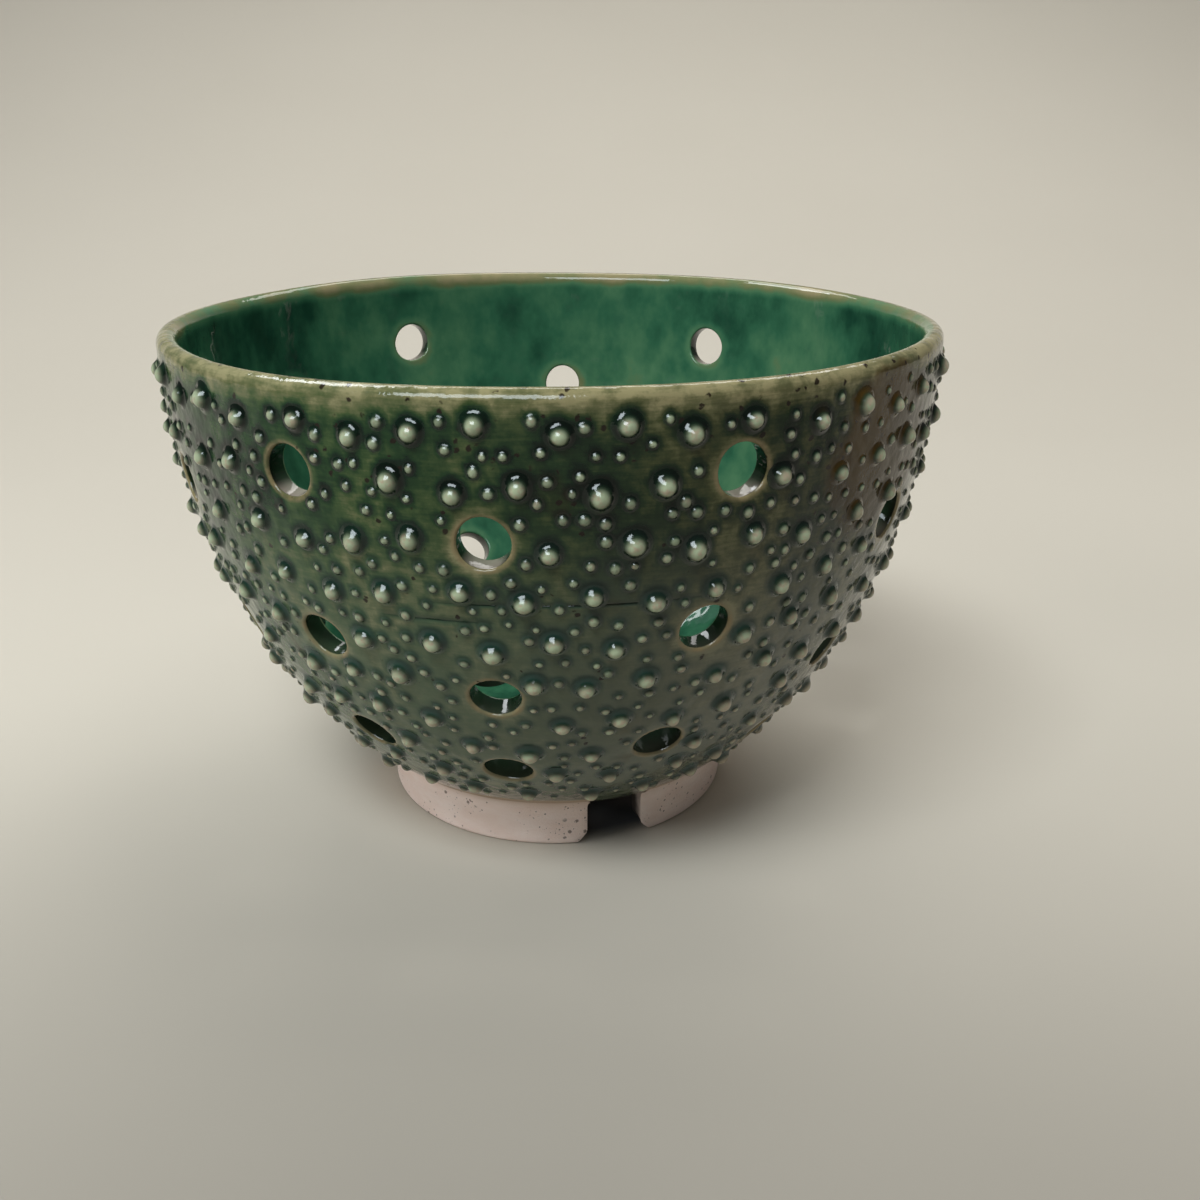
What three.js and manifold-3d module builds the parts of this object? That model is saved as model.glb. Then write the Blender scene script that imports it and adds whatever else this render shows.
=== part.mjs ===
// Berry bowl: a thrown stoneware colander bowl. The wall is pierced by columns of round drain holes and
// studded with trailed slip beads, and it stands on a bare foot ring that drain notches cut into three arcs.
//
// Millimetres, +Z up, origin on the table under the middle of the foot. Angles are in degrees round the bowl,
// measured from the front (-Y) towards the right (+X). A drop is a length along the outside of the wall,
// measured down from the top of the lip.
import * as THREE from "three";
import { mergeVertices } from "three/addons/utils/BufferGeometryUtils.js";
import Module from "manifold-3d";

// Bowl
const RIM_DIAMETER = 150;
const HEIGHT = 100;
const LIP_THICKNESS = 3.8;
const LIP_HEIGHT = 2.5; // the lip stands this far above the widest level of the wall
const SEAT_DIAMETER = 77.4; // outside of the wall where it meets the foot
const FLOOR_THICKNESS = 5;
const FLOOR_FLAT_DIAMETER = 44; // flat middle of the inside floor

// Foot ring
const FOOT_DIAMETER = 73; // on the table
const FOOT_HEIGHT = 11;
const FOOT_WALL = 5.5;
const FOOT_EDGE = 0.8; // worn edge where the foot meets the table
const FOOT_COVE = 3; // height of the hollow curve under the wall
const NOTCH_COUNT = 3;
const NOTCH_WIDTH = 11.5;
const NOTCH_CORNER = 3; // rounding of the foot's corners beside a notch
const FIRST_NOTCH_ANGLE = 18;

// Drain holes: columns cut by eye, so each has its own angle and drops and leans a little from hole to hole
const HOLE_DIAMETER = 8.7;
const HOLE_COLUMNS = [
  { angle: -34, lean: -1.5, drops: [14.7, 46.2, 72.4] },
  { angle: -8.6, lean: -0.65, drops: [23.9, 55.2, 78.3] },
  { angle: 22.6, lean: -2.3, drops: [13.6, 41.5, 70.4] },
  { angle: 54.8, lean: -2.2, drops: [29.7, 58, 82] },
  { angle: 84, lean: 1.5, drops: [14, 43.5, 70] },
  { angle: 115, lean: -1, drops: [25, 54, 79.5] },
  { angle: 147, lean: 1.8, drops: [17.2, 45.5, 71] },
  { angle: 178, lean: 0.5, drops: [28.4, 56, 80] },
  { angle: 210, lean: -3.1, drops: [16.3, 44, 71.8] },
  { angle: 240, lean: 1, drops: [24.5, 54, 79.5] },
  { angle: 268, lean: -1.2, drops: [14, 43.5, 70] },
  { angle: 296, lean: 0.8, drops: [24, 53.5, 79] },
];
const FLOOR_HOLE_COUNT = 6; // round one more in the middle
const FLOOR_HOLE_CIRCLE = 36; // diameter of the circle through their centres

// Slip beads
const BEAD_DIAMETER = 3.6;
const BEAD_HEIGHT = 2;
const BEAD_ROOT = 0.9; // how deep a bead is bedded in the wall
const BEAD_PITCH = 10.6; // between neighbours in a row, and the base of the rows' spacing
const FIRST_BEAD_DROP = 6.5;
const BEAD_SCATTER = 1.5; // how far a hand-placed bead strays from its grid, each way
const BEAD_CLEARANCE = 0.6; // least gap from a bead to a hole's edge or to the foot

// Facets
const TURN_STEPS = 48;
const WALL_STEPS = 8;
const LIP_STEPS = 4;
const HOLE_SIDES = 10;
const BEAD_SIDES = 6;
const CORNER_STEPS = 4;

const radians = THREE.MathUtils.degToRad;
const rimRadius = RIM_DIAMETER / 2;
const seatRadius = SEAT_DIAMETER / 2;
const footRadius = FOOT_DIAMETER / 2;
const holeRadius = HOLE_DIAMETER / 2;
const beadRadius = BEAD_DIAMETER / 2;
const floorFlatRadius = FLOOR_FLAT_DIAMETER / 2;
const innerRadius = rimRadius - LIP_THICKNESS;
const widestLevel = HEIGHT - LIP_HEIGHT;
const floorLevel = FOOT_HEIGHT + FLOOR_THICKNESS;

// The outside of the wall is an arc of an ellipse, upright at the widest level, that ends on the foot's seat.
const seatTurn = Math.acos(seatRadius / rimRadius);
const wallDepth = (widestLevel - FOOT_HEIGHT) / Math.sin(seatTurn);
const outerCurve = new THREE.EllipseCurve(0, widestLevel, rimRadius, wallDepth, 0, -seatTurn, true);
// The inside is a quarter ellipse that rises from the flat floor.
const innerCurve = new THREE.EllipseCurve(
  floorFlatRadius,
  widestLevel,
  innerRadius - floorFlatRadius,
  widestLevel - floorLevel,
  0,
  -Math.PI / 2,
  true,
);
const wallLength = LIP_HEIGHT + outerCurve.getLength();

const wasm = await Module();
wasm.setup();

// A closed geometry as a solid that can be cut and joined.
function solidOf(geometry) {
  const bare = geometry.clone();
  bare.deleteAttribute("normal");
  bare.deleteAttribute("uv");
  const merged = mergeVertices(bare);
  const corners = merged.index.array;
  const triangles = [];
  for (let i = 0; i < corners.length; i += 3) {
    const [a, b, c] = corners.slice(i, i + 3);
    if (a !== b && b !== c && c !== a) triangles.push(a, b, c);
  }
  return new wasm.Manifold(
    new wasm.Mesh({
      numProp: 3,
      vertProperties: merged.attributes.position.array,
      triVerts: new Uint32Array(triangles),
    }),
  );
}

function meshOf(name, solid, material) {
  const { vertProperties, triVerts } = solid.getMesh();
  const geometry = new THREE.BufferGeometry();
  geometry.setAttribute("position", new THREE.BufferAttribute(vertProperties, 3));
  geometry.setIndex(new THREE.BufferAttribute(triVerts, 1));
  geometry.computeVertexNormals();
  const mesh = new THREE.Mesh(geometry, material);
  mesh.name = name;
  return mesh;
}

// A profile of radius and height, turned round +Z.
function turned(profile, steps) {
  return new THREE.LatheGeometry(profile, steps).rotateX(Math.PI / 2);
}

// A tool that points along +Y, stood on a point with that axis along a direction.
function placed(geometry, position, direction) {
  const turn = new THREE.Quaternion().setFromUnitVectors(new THREE.Vector3(0, 1, 0), direction);
  return geometry.clone().applyQuaternion(turn).translate(position.x, position.y, position.z);
}

// The point on the outside of the wall at an angle and a drop, and the direction straight out of it.
function onWall(angle, drop) {
  const share = (drop - LIP_HEIGHT) / outerCurve.getLength();
  const point = outerCurve.getPointAt(Math.min(Math.max(share, 0), 1));
  const slope = outerCurve.getTangentAt(Math.min(Math.max(share, 0), 1));
  const sine = Math.sin(radians(angle));
  const cosine = Math.cos(radians(angle));
  const out = -slope.y;
  return {
    radius: point.x,
    position: new THREE.Vector3(point.x * sine, -point.x * cosine, point.y),
    normal: new THREE.Vector3(out * sine, -out * cosine, slope.x),
  };
}

function holePlaces() {
  const places = [];
  for (const { angle, lean, drops } of HOLE_COLUMNS) {
    drops.forEach((drop, i) => places.push(onWall(angle + lean * i, drop)));
  }
  return places;
}

function floorHolePlaces() {
  const places = [new THREE.Vector3(0, 0, floorLevel)];
  for (let i = 0; i < FLOOR_HOLE_COUNT; i++) {
    const turn = (2 * Math.PI * i) / FLOOR_HOLE_COUNT;
    const reach = FLOOR_HOLE_CIRCLE / 2;
    places.push(new THREE.Vector3(reach * Math.sin(turn), -reach * Math.cos(turn), floorLevel));
  }
  return places;
}

// A steady scatter from -1 to 1 that looks uneven: the fraction of a running count times an irrational step.
function scatter(count, step) {
  const share = count * step;
  return 2 * (share - Math.floor(share)) - 1;
}

// Beads in staggered rows, each a little off its grid, kept clear of the holes and the foot.
function beadPlaces(holes) {
  const places = [];
  const rowPitch = BEAD_PITCH * Math.sin(Math.PI / 3);
  const lastDrop = wallLength - beadRadius - BEAD_CLEARANCE - BEAD_SCATTER;
  const leastGap = holeRadius + beadRadius + BEAD_CLEARANCE;
  let count = 0;
  for (let row = 0; FIRST_BEAD_DROP + row * rowPitch < lastDrop; row++) {
    const drop = FIRST_BEAD_DROP + row * rowPitch;
    const around = Math.round((2 * Math.PI * onWall(0, drop).radius) / BEAD_PITCH);
    for (let i = 0; i < around; i++) {
      count++;
      const stray = (BEAD_SCATTER * scatter(count, 0.7548777)) / BEAD_PITCH;
      const angle = (360 * (i + (row % 2) / 2 + stray)) / around;
      const place = onWall(angle, drop + BEAD_SCATTER * scatter(count, 0.5698403));
      if (holes.every((hole) => hole.position.distanceTo(place.position) > leastGap)) places.push(place);
    }
  }
  return places;
}

function bowlWall() {
  const lipRadius = LIP_THICKNESS / 2;
  const lipLevel = HEIGHT - lipRadius;
  const lip = new THREE.EllipseCurve(rimRadius - lipRadius, lipLevel, lipRadius, lipRadius, 0, Math.PI);
  const profile = [
    new THREE.Vector2(0, FOOT_HEIGHT),
    ...outerCurve.getSpacedPoints(WALL_STEPS).reverse(),
    ...lip.getPoints(LIP_STEPS),
    ...innerCurve.getSpacedPoints(WALL_STEPS),
    new THREE.Vector2(0, floorLevel),
  ];
  let wall = solidOf(turned(profile, TURN_STEPS));

  const holes = holePlaces();
  const bead = beadGeometry();
  for (const { position, normal } of beadPlaces(holes)) {
    wall = wall.add(solidOf(placed(bead, position, normal)));
  }

  const reach = 4 * FLOOR_THICKNESS + 2 * BEAD_HEIGHT;
  const drill = new THREE.CylinderGeometry(holeRadius, holeRadius, reach, HOLE_SIDES);
  for (const { position, normal } of holes) {
    wall = wall.subtract(solidOf(placed(drill, position, normal)));
  }
  const down = new THREE.Vector3(0, 0, 1);
  for (const place of floorHolePlaces()) {
    wall = wall.subtract(solidOf(placed(drill, place, down)));
  }
  return wall;
}

// A drop of slip: a short peak that widens down to a root bedded in the wall.
function beadGeometry() {
  const rootRadius = beadRadius * (1 + BEAD_ROOT / BEAD_HEIGHT);
  const profile = [
    new THREE.Vector2(0, -BEAD_ROOT),
    new THREE.Vector2(rootRadius, -BEAD_ROOT),
    new THREE.Vector2(0, BEAD_HEIGHT),
  ];
  return new THREE.LatheGeometry(profile, BEAD_SIDES);
}

// The whole foot ring before it is notched.
function footRing() {
  const inside = footRadius - FOOT_WALL;
  const coveLevel = FOOT_HEIGHT - FOOT_COVE;
  const cove = new THREE.QuadraticBezierCurve(
    new THREE.Vector2(footRadius, coveLevel),
    new THREE.Vector2(footRadius, FOOT_HEIGHT - FOOT_COVE / 3),
    new THREE.Vector2(seatRadius, FOOT_HEIGHT),
  );
  const profile = [
    new THREE.Vector2(inside + FOOT_EDGE, 0),
    new THREE.Vector2(footRadius - FOOT_EDGE, 0),
    new THREE.Vector2(footRadius, FOOT_EDGE),
    ...cove.getPoints(CORNER_STEPS),
    new THREE.Vector2(inside, FOOT_HEIGHT),
    new THREE.Vector2(inside, FOOT_EDGE),
    new THREE.Vector2(inside + FOOT_EDGE, 0),
  ];
  return solidOf(turned(profile, TURN_STEPS));
}

// The tool that cuts a notch: its outline flares at the table, which rounds the corners of the foot.
function notchTool(angle) {
  const half = NOTCH_WIDTH / 2;
  const outline = new THREE.Shape();
  outline.moveTo(-half - NOTCH_CORNER, -NOTCH_CORNER);
  outline.lineTo(half + NOTCH_CORNER, -NOTCH_CORNER);
  outline.lineTo(half + NOTCH_CORNER, 0);
  outline.absarc(half + NOTCH_CORNER, NOTCH_CORNER, NOTCH_CORNER, -Math.PI / 2, -Math.PI, true);
  outline.lineTo(half, FOOT_HEIGHT + NOTCH_CORNER);
  outline.lineTo(-half, FOOT_HEIGHT + NOTCH_CORNER);
  outline.lineTo(-half, NOTCH_CORNER);
  outline.absarc(-half - NOTCH_CORNER, NOTCH_CORNER, NOTCH_CORNER, 0, -Math.PI / 2, true);
  outline.closePath();
  const reach = Math.max(footRadius, seatRadius) + FOOT_WALL;
  const tool = new THREE.ExtrudeGeometry(outline, {
    depth: reach,
    bevelEnabled: false,
    curveSegments: CORNER_STEPS,
  });
  return solidOf(tool.rotateX(Math.PI / 2).rotateZ(radians(angle)));
}

// The slice of space from one notch's middle to the next one's, which holds one arc of the foot.
function sectorTool(angle) {
  const reach = 2 * Math.max(footRadius, seatRadius);
  const start = radians(angle) - Math.PI / 2;
  const slice = new THREE.Shape();
  slice.moveTo(0, 0);
  slice.lineTo(reach * Math.cos(start), reach * Math.sin(start));
  slice.absarc(0, 0, reach, start, start + (2 * Math.PI) / NOTCH_COUNT, false);
  slice.closePath();
  const tool = new THREE.ExtrudeGeometry(slice, {
    depth: 2 * FOOT_HEIGHT,
    bevelEnabled: false,
    curveSegments: CORNER_STEPS,
  });
  return solidOf(tool.translate(0, 0, -FOOT_HEIGHT / 2));
}

function footArc(index) {
  const pitch = 360 / NOTCH_COUNT;
  const start = FIRST_NOTCH_ANGLE + index * pitch;
  return footRing()
    .intersect(sectorTool(start))
    .subtract(notchTool(start))
    .subtract(notchTool(start + pitch));
}

const glaze = new THREE.MeshStandardMaterial({ color: 0x3c5a44, roughness: 0.16, metalness: 0 });
const bareClay = new THREE.MeshStandardMaterial({ color: 0xcbb3a6, roughness: 0.85, metalness: 0 });

const berryBowl = new THREE.Group();
berryBowl.name = "berry_bowl";
berryBowl.add(meshOf("bowl_wall", bowlWall(), glaze));
for (let i = 0; i < NOTCH_COUNT; i++) {
  berryBowl.add(meshOf("foot_arc_" + (i + 1), footArc(i), bareClay));
}

export default berryBowl;
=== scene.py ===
"""Berry bowl: the glazed, beaded and pierced bowl on its notched foot, dressed over the CAD frame.

Sizes are in millimetres and are scaled to metres when a mesh is made. Angles run round the bowl from the
front (-Y) towards the right (+X). A drop is a length along the outside of the wall, down from the lip's top.
"""

import math

import bmesh
import bpy
import numpy as np
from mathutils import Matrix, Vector
from mathutils.kdtree import KDTree


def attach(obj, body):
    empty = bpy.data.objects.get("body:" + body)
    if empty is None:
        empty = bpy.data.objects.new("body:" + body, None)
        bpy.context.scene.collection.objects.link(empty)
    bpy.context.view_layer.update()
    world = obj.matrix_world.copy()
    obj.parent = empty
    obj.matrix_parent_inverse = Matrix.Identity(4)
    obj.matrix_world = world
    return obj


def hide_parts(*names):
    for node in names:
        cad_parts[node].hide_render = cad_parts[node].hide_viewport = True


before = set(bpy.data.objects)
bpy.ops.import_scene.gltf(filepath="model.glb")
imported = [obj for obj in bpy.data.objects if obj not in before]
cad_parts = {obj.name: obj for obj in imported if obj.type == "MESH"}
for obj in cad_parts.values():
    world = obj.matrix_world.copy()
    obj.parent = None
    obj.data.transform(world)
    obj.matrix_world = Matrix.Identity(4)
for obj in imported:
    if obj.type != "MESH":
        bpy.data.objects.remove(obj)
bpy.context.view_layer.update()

MM = 0.001

# Bowl
RIM_RADIUS = 75.0
HEIGHT = 100.0
LIP_THICKNESS = 3.8
LIP_HEIGHT = 2.5
SEAT_RADIUS = 38.7
FLOOR_THICKNESS = 5.0
FLOOR_FLAT_RADIUS = 22.0

# Unevenness of a bowl thrown by hand: waves round it, millimetres at the lip, phase
SPREAD_WAVES = [(1, 0.4, 0.0), (2, -0.35, math.pi / 2), (3, 0.12, 0.0), (7, 0.06, 0.0)]
LIFT_WAVES = [(2, 0.25, 0.4), (5, 0.15, 1.9)]

# Foot ring
FOOT_RADIUS = 36.5
FOOT_HEIGHT = 11.0
FOOT_WALL = 5.5
FOOT_EDGE = 0.9
FOOT_COVE = 3.0
FOOT_END_ROUND = 0.7
FOOT_END_INSET = 0.13  # how far an arc's end draws in, as a share of its section
NOTCH_COUNT = 3
NOTCH_WIDTH = 11.5
NOTCH_CORNER = 3.0
FIRST_NOTCH_ANGLE = 18.0

# Drain holes: first angle of each column, its lean from hole to hole, and the drops of its holes
HOLE_RADIUS = 4.35
HOLE_EDGE = 0.5
HOLE_COLUMNS = [
    (-34, -1.5, [14.7, 46.2, 72.4]),
    (-8.6, -0.65, [23.9, 55.2, 78.3]),
    (22.6, -2.3, [13.6, 41.5, 70.4]),
    (54.8, -2.2, [29.7, 58, 82]),
    (84, 1.5, [14, 43.5, 70]),
    (115, -1, [25, 54, 79.5]),
    (147, 1.8, [17.2, 45.5, 71]),
    (178, 0.5, [28.4, 56, 80]),
    (210, -3.1, [16.3, 44, 71.8]),
    (240, 1, [24.5, 54, 79.5]),
    (268, -1.2, [14, 43.5, 70]),
    (296, 0.8, [24, 53.5, 79]),
]
FLOOR_HOLE_COUNT = 6
FLOOR_HOLE_REACH = 18.0
HOLE_WAVES = [(2, 0.02, 1.0), (3, 0.012, 2.3)]  # waves round a hole, share of its radius, phase to the seed
WALL_HOLE_SEED = 1.7
FLOOR_HOLE_SEED = 2.9
HOLE_SPAN = 6.0  # points further than this along a hole's axis are on another part of the bowl
GAP_SPAN = 14.0  # the same for the glaze that thins round a hole, on both sides of the wall
NO_HOLE = 1e3
SILL_DOWN = (0.5, 0.95)  # shares of a bore's radius below its middle where its sill begins and is full

# Slip beads: large ones as in the CAD part, small ones between them
BEAD_RADIUS = 1.8
CAP_RADIUS = 1.56
CAP_HEIGHT = 1.65
BEAD_PITCH = 10.6
FIRST_BEAD_DROP = 6.5
BEAD_SCATTER = 1.5
BEAD_CLEARANCE = 0.6
SCATTER_STEPS = (0.7548777, 0.5698403)  # round the bowl and down the wall, from bead to bead
SMALL_RADIUS = 0.8
SMALL_HEIGHT = 0.58
SMALL_PITCH = 4.3
SMALL_SCATTER = 1.2
FIRST_SMALL_DROP = 5.4
SMALL_CLEARANCE = 1.0
SMALL_SPACING = 2.6
SMALL_NEIGHBOURS = 160  # beads placed last, from which a new one keeps its spacing
SMALL_END = 2.6
LARGE_SIZES = (0.86, 1.1)
SMALL_SIZES = (0.72, 1.2)
LARGE_BARENESS = (0.85, 1.0)
SMALL_BARENESS = (0.45, 0.85)
LARGE_SIDES = 20
SMALL_SIDES = 12
OVALS = (0.94, 1.07)
DROOPS = (0.0, 0.16)
ROOT = 0.4  # depth of a bead's root in the wall, as a share of its height
# Outline of a bead from where it runs out on the wall to its tip: share of its radius, share of its height
BEAD_OUTLINE = [
    (1.8, -0.02),
    (1.58, 0.02),
    (1.4, 0.075),
    (1.24, 0.155),
    (1.1, 0.27),
    (0.97, 0.42),
    (0.83, 0.59),
    (0.67, 0.75),
    (0.47, 0.88),
    (0.25, 0.97),
]
FLANK_REACH = (1.25, 0.95)  # shares of a bead's radius where its dark flank begins and is full
CAP_REACH = (1.05, 0.5)  # the same for its bare cap

# Glaze that gathers at beads: where it begins and is full, from a bead's edge
LARGE_POOL = (1.9, 0.2)
SMALL_POOL = (1.2, 0.1)
SMALL_POOL_SHARE = 0.7
GROOVE_POOL_SHARE = 0.75
POOL_SHIFT = 0.4  # glaze runs down the wall, so it gathers above a bead: share of the bead's radius

# Grooves that the potter's tool left: drop, first and last angle, depth
GROOVES = [
    (34.8, -17, 20, 0.24),
    (38.2, -24, -8, 0.18),
    (61.0, 120, 152, 0.2),
]
GROOVE_WIDTH = 0.5

# Mesh grids of the wall, the floor and the foot
COLUMNS = 576
ROW = 0.8
LIP_ROWS = 11
FLOOR_SHARE = 4  # wall columns to one floor column
FLOOR_RINGS = 34
FLOOR_JOIN = 1.0  # width of the ring of faces that joins floor columns to wall columns
FOOT_STEPS = 90
FOOT_EDGE_ROWS = 6
FOOT_SIDE_ROWS = 9
FOOT_COVE_ROWS = 8
FOOT_SEAT_ROWS = 5
PROFILE_STEPS = 4001
INNER_STEPS = 3000
MIDDLE_STEPS = 400
QUARTER = np.radians([22.5, 45, 67.5, 90])
CREASE = math.radians(70)

INNER_RADIUS = RIM_RADIUS - LIP_THICKNESS
WIDEST = HEIGHT - LIP_HEIGHT
FLOOR_LEVEL = FOOT_HEIGHT + FLOOR_THICKNESS
SEAT_TURN = math.acos(SEAT_RADIUS / RIM_RADIUS)
WALL_DEPTH = (WIDEST - FOOT_HEIGHT) / math.sin(SEAT_TURN)

rng = np.random.default_rng(11)


# The wall's outside

_turns = np.linspace(0, SEAT_TURN, PROFILE_STEPS)
_outer_r = RIM_RADIUS * np.cos(_turns)
_outer_z = WIDEST - WALL_DEPTH * np.sin(_turns)
_outer_s = np.concatenate([[0], np.cumsum(np.hypot(np.diff(_outer_r), np.diff(_outer_z)))])
WALL_LENGTH = LIP_HEIGHT + _outer_s[-1]


def wall_profile(drop):
    """Radius, height and outward normal (radial, upward) of the outside at each drop."""
    turn = np.interp(np.asarray(drop, float) - LIP_HEIGHT, _outer_s, _turns)
    radius = RIM_RADIUS * np.cos(turn)
    level = WIDEST - WALL_DEPTH * np.sin(turn)
    out = WALL_DEPTH * np.cos(turn)
    up = -RIM_RADIUS * np.sin(turn)
    length = np.hypot(out, up)
    return radius, level, out / length, up / length


def around(radius, level, angle):
    """Points at radii, levels and angles (in radians from the front)."""
    radius, level, angle = np.broadcast_arrays(radius, level, angle)
    return np.stack([radius * np.sin(angle), -radius * np.cos(angle), level], -1)


def on_wall(angle, drop):
    """Points on the outside and the directions straight out of it, for angles in degrees."""
    turn = np.radians(angle)
    radius, level, out, up = wall_profile(drop)
    return around(radius, level, turn), around(out, up, turn)


def angles_of(points):
    """Angle of each point round the bowl, in radians from the front."""
    return np.arctan2(points[:, 0], -points[:, 1])


def waves(angle, table):
    """Sum of the waves in a table at each angle."""
    return sum(size * np.sin(count * angle + phase) for count, size, phase in table)


def thrown(points):
    """The points moved by the unevenness of a bowl thrown and handled by a person."""
    angle = angles_of(points)
    share = np.clip(points[:, 2] / HEIGHT, 0, 1) ** 2
    spread = share * waves(angle, SPREAD_WAVES)
    moved = points.copy()
    moved[:, 0] += spread * np.sin(angle)
    moved[:, 1] -= spread * np.cos(angle)
    moved[:, 2] += share * waves(angle, LIFT_WAVES)
    return moved


# Where the holes and the beads are

hole_angles = np.array([angle + lean * i for angle, lean, drops in HOLE_COLUMNS for i in range(len(drops))])
hole_drops = np.concatenate([drops for _, _, drops in HOLE_COLUMNS])
hole_points, hole_axes = on_wall(hole_angles, hole_drops)


def stray(count, step_size):
    """An even scatter from -1 to 1, one value for each count."""
    share = count * step_size
    return 2 * (share - math.floor(share)) - 1


def nearest(points, point):
    """Distance from a point to the nearest of many."""
    return np.linalg.norm(points - point, axis=1).min()


def place_large_beads():
    """Angles and drops of the large beads: the same uneven rows as the CAD part's."""
    angles, drops = [], []
    row_pitch = BEAD_PITCH * math.sin(math.pi / 3)
    last = WALL_LENGTH - BEAD_RADIUS - BEAD_CLEARANCE - BEAD_SCATTER
    least = HOLE_RADIUS + BEAD_RADIUS + BEAD_CLEARANCE
    count = 0
    row = 0
    while FIRST_BEAD_DROP + row * row_pitch < last:
        drop = FIRST_BEAD_DROP + row * row_pitch
        number = math.floor(2 * math.pi * wall_profile(drop)[0] / BEAD_PITCH + 0.5)
        for i in range(number):
            count += 1
            shift = BEAD_SCATTER * stray(count, SCATTER_STEPS[0]) / BEAD_PITCH
            angle = 360 * (i + (row % 2) / 2 + shift) / number
            at = drop + BEAD_SCATTER * stray(count, SCATTER_STEPS[1])
            point, _ = on_wall(angle, at)
            if nearest(hole_points, point) > least:
                angles.append(angle)
                drops.append(at)
        row += 1
    return np.array(angles), np.array(drops)


def place_small_beads():
    """Angles and drops of the small beads that fill the gaps between the large ones and the holes."""
    angles, drops, placed = [], [], []
    row_pitch = SMALL_PITCH * math.sin(math.pi / 3)
    rows = int((WALL_LENGTH - FIRST_SMALL_DROP - SMALL_END) / row_pitch)
    large_points, _ = on_wall(large_angles, large_drops)
    for row in range(rows):
        drop = FIRST_SMALL_DROP + row * row_pitch
        number = round(2 * math.pi * wall_profile(drop)[0] / SMALL_PITCH)
        for i in range(number):
            shift = rng.uniform(-SMALL_SCATTER, SMALL_SCATTER) / SMALL_PITCH
            angle = 360 * (i + (row % 2) / 2 + shift) / number
            at = drop + rng.uniform(-SMALL_SCATTER, SMALL_SCATTER)
            point, _ = on_wall(angle, at)
            if nearest(hole_points, point) < HOLE_RADIUS + SMALL_RADIUS + SMALL_CLEARANCE:
                continue
            if nearest(large_points, point) < BEAD_RADIUS + SMALL_RADIUS + SMALL_CLEARANCE:
                continue
            if placed and nearest(np.array(placed[-SMALL_NEIGHBOURS:]), point) < SMALL_SPACING:
                continue
            placed.append(point)
            angles.append(angle)
            drops.append(at)
    return np.array(angles), np.array(drops)


large_angles, large_drops = place_large_beads()
large_sizes = rng.uniform(*LARGE_SIZES, len(large_angles))
small_angles, small_drops = place_small_beads()
small_sizes = rng.uniform(*SMALL_SIZES, len(small_angles))


def step(values, low, high):
    """A smooth step from 0 to 1 between two values."""
    share = np.clip((np.asarray(values) - low) / (high - low), 0, 1)
    return share * share * (3 - 2 * share)


def groove_reach(angles, groove):
    """1 in the middle of a groove, easing to 0 at its ends, for angles in radians."""
    _, first, last, _ = groove
    middle = math.radians(first + last) / 2
    half = math.radians(last - first) / 2
    aside = np.abs((angles - middle + math.pi) % (2 * math.pi) - math.pi)
    return np.clip(1 - (aside / half) ** 2, 0, 1) ** 0.5


def bead_pools(points, angles, drops, radii, limits):
    """How far the glaze has pooled round beads at each point: 1 at a bead's foot, 0 away from it."""
    centres, _ = on_wall(angles, drops - POOL_SHIFT * radii)
    tree = KDTree(len(centres))
    for i, centre in enumerate(centres):
        tree.insert(centre, i)
    tree.balance()
    found = [tree.find(point) for point in points]
    return step([distance - radii[i] for _, i, distance in found], *limits)


def pools(points):
    """How far the glaze has pooled at each point, round the beads and in the grooves."""
    large = bead_pools(points, large_angles, large_drops, CAP_RADIUS * large_sizes, LARGE_POOL)
    small = bead_pools(points, small_angles, small_drops, SMALL_RADIUS * small_sizes, SMALL_POOL)
    pooled = np.maximum(large, SMALL_POOL_SHARE * small)
    for groove in GROOVES:
        near = step(np.abs(points[:, 2] - wall_profile(groove[0])[1]), GROOVE_WIDTH, 0)
        grooved = GROOVE_POOL_SHARE * near * groove_reach(angles_of(points), groove) ** 0.5
        pooled = np.maximum(pooled, grooved)
    return pooled


# The bowl's body as one closed skin


class Skin:
    """Vertices and faces gathered piece by piece."""

    def __init__(self):
        self.points = []
        self.count = 0
        self.faces = []
        self.bores = []
        self.sills = []

    def add(self, points):
        """Keeps an array of points and gives their numbers in its shape."""
        points = np.asarray(points, float)
        numbers = np.arange(self.count, self.count + points[..., 0].size).reshape(points.shape[:-1])
        self.points.append(points.reshape(-1, 3))
        self.count += numbers.size
        return numbers

    def quads(self, grid, skip=None, closed=True):
        """Faces of a grid of numbers, closed on itself sideways, apart from those to skip."""
        right = np.roll(grid, -1, axis=1) if closed else grid[:, 1:]
        left = grid if closed else grid[:, :-1]
        cells = np.stack([left[:-1], right[:-1], right[1:], left[1:]], -1)
        if skip is not None:
            cells = cells[~skip]
        self.faces.extend(cells.reshape(-1, 4).tolist())

    def tube(self, front, back, ring, top, bottom, sill):
        """Lining of a hole from a front loop to a back loop, with rounded edges.

        A ring is made from how far it lies out of the bore and from its depths along the hole.
        """
        out = HOLE_EDGE * (1 - np.sin(QUARTER))
        deep = HOLE_EDGE * (1 - np.cos(QUARTER))
        rings = [front]
        rings += [self.add(ring(o, top - d)) for o, d in zip(out, deep)]
        rings += [self.add(ring(o, bottom + d)) for o, d in zip(out[::-1], deep[::-1])]
        rings.append(back)
        straight = rings[len(QUARTER) : len(QUARTER) + 2]
        self.bores.append(np.concatenate(straight))
        self.sills.append(np.tile(sill, 2))
        self.quads(np.array(rings))

    def all_points(self):
        return np.concatenate(self.points)


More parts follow.
